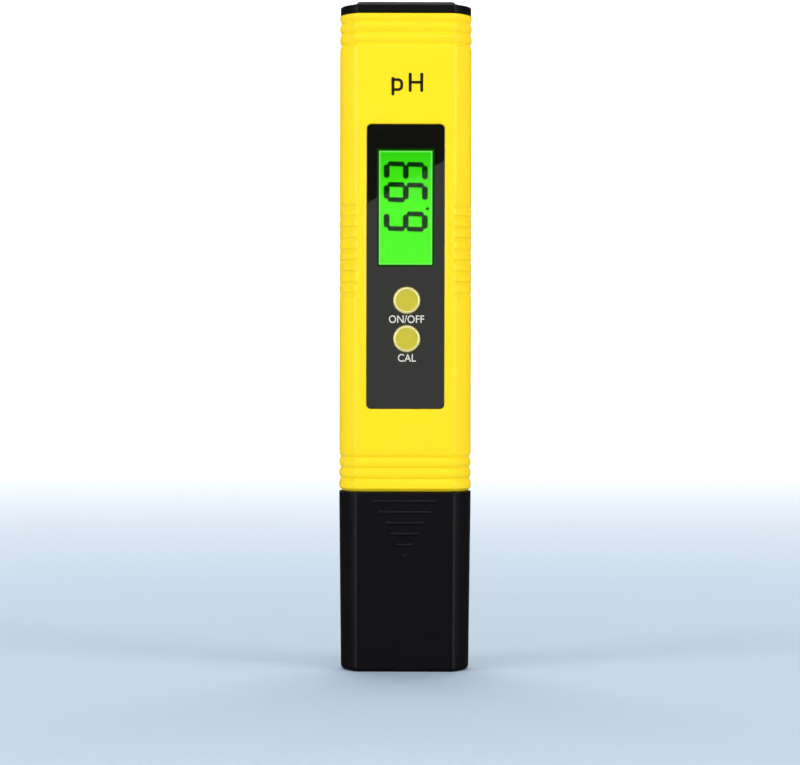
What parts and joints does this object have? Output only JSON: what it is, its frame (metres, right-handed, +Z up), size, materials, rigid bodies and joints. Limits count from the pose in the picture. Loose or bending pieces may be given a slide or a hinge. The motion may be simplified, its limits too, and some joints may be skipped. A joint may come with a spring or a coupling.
{
  "type": "ph meter",
  "caption": "Upright pen pH tester: yellow housing, glossy front panel with a green display and round keys, black storage cap and battery cover.",
  "frame": {"origin": "middle of the flat base of the storage cap, on which the pen stands", "axes": "+Z up the pen towards the battery cover, the flat front with the display faces -Y, +X to the right as the display is looked at"},
  "size_m": [0.03, 0.0165, 0.1512],
  "materials": {
    "yellow_abs": "moulded, semi-gloss",
    "panel_black": "high gloss",
    "lens_clear": "polished",
    "display_green": "lit from behind",
    "frame_black": "moulded",
    "light_guide": "frosted",
    "contact_rubber": "striped",
    "board_green": "solder mask",
    "epoxy_black": "domed",
    "chip_black": "moulded",
    "parts_mixed": "fired",
    "steel": "machined",
    "nickel": "plated",
    "socket_ivory": "moulded",
    "tray_black": "moulded",
    "contact_brass": "sprung",
    "lead_red": "insulated",
    "sleeve_grey": "moulded",
    "plug_blue": "potted",
    "electrode_glass": "blown",
    "silver": "drawn",
    "junction_white": "porous",
    "rubber_black": "moulded",
    "key_yellow": "moulded",
    "plunger_black": "moulded",
    "cover_black": "fine texture",
    "cap_black": "fine texture",
    "sponge": "open cell"
  },
  "bodies": {
    "housing": {"front_shell": "yellow_abs", "rear_shell": "yellow_abs", "case_screws": "steel", "front_panel": "panel_black", "display_lens": "lens_clear", "display_frame": "frame_black", "display_glass": "display_green", "light_guide": "light_guide", "backlight_led": "light_guide", "contact_strips": "contact_rubber", "main_board": "board_green", "controller_blob": "epoxy_black", "amplifier_chip": "chip_black", "board_parts": "parts_mixed", "board_screws": "steel", "on_off_switch": "nickel", "cal_switch": "nickel", "probe_socket": "socket_ivory", "battery_tray": "tray_black", "cell_left_lower": "nickel", "cell_left_upper": "nickel", "cell_right_lower": "nickel", "cell_right_upper": "nickel", "battery_springs": "contact_brass", "battery_leads": "lead_red", "probe_sleeve": "sleeve_grey", "probe_plug": "plug_blue", "glass_electrode": "electrode_glass", "glass_wire": "silver", "reference_wire": "silver", "reference_junction": "junction_white", "temperature_probe": "steel", "sleeve_bung": "rubber_black", "probe_leads": "lead_red", "cap_seal": "rubber_black"},
    "storage_cap_body": {"storage_cap": "cap_black", "cap_sponge": "sponge"},
    "battery_cover_body": {"battery_cover": "cover_black", "cover_seal": "rubber_black", "contact_bridge": "contact_brass"},
    "on_off_key_body": {"on_off_key": "key_yellow", "on_off_plunger": "plunger_black"},
    "cal_key_body": {"cal_key": "key_yellow", "cal_plunger": "plunger_black"}
  },
  "joints": [
    {"name": "cap_pull", "type": "slide", "parent": "housing", "child": "storage_cap_body", "axis": [0, 0, -1], "range_m": [0, 0.045]},
    {"name": "battery_cover_lift", "type": "slide", "parent": "housing", "child": "battery_cover_body", "axis": [0, 0, 1], "range_m": [0, 0.02]},
    {"name": "on_off_press", "type": "slide", "parent": "housing", "child": "on_off_key_body", "axis": [0, 1, 0], "range_m": [0, 0.0003], "stiffness_N_per_m": 4000},
    {"name": "cal_press", "type": "slide", "parent": "housing", "child": "cal_key_body", "axis": [0, 1, 0], "range_m": [0, 0.0003], "stiffness_N_per_m": 4000}
  ]
}
